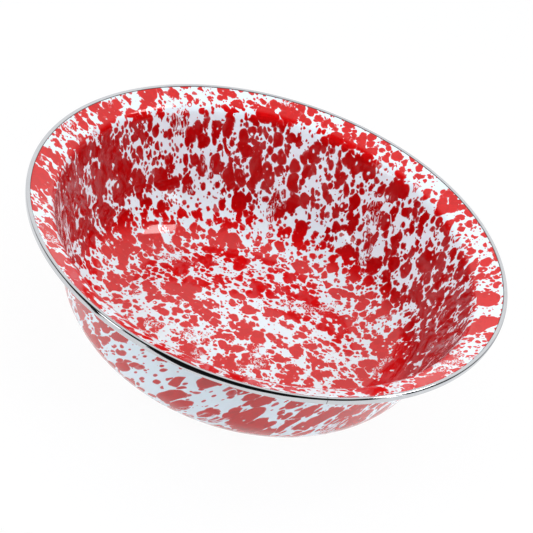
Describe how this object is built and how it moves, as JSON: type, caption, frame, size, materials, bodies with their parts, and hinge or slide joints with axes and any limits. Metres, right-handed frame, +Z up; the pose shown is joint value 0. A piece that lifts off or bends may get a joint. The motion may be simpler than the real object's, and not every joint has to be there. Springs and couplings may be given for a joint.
{
  "type": "serving bowl",
  "caption": "Round serving bowl of splatter-enamelled steel with a flat base, a leaning wall, a flared flange and a bright metal strip closed over its rim.",
  "frame": {"origin": "centre of the flat underside, on the surface that the bowl stands on", "axes": "+Z up along the bowl's axis, +X to the right and +Y away in the picture's view"},
  "size_m": [0.298, 0.298, 0.0872],
  "materials": {
    "ground_coated_steel": "drawn sheet steel under a dark ground coat",
    "enamel": "glossy white glass enamel with red splatter",
    "stainless_strip": "polished stainless steel"
  },
  "bodies": {
    "root": {"steel_body": "ground_coated_steel", "inner_enamel": "enamel", "outer_enamel": "enamel", "rim_band": "stainless_strip"}
  },
  "joints": []
}
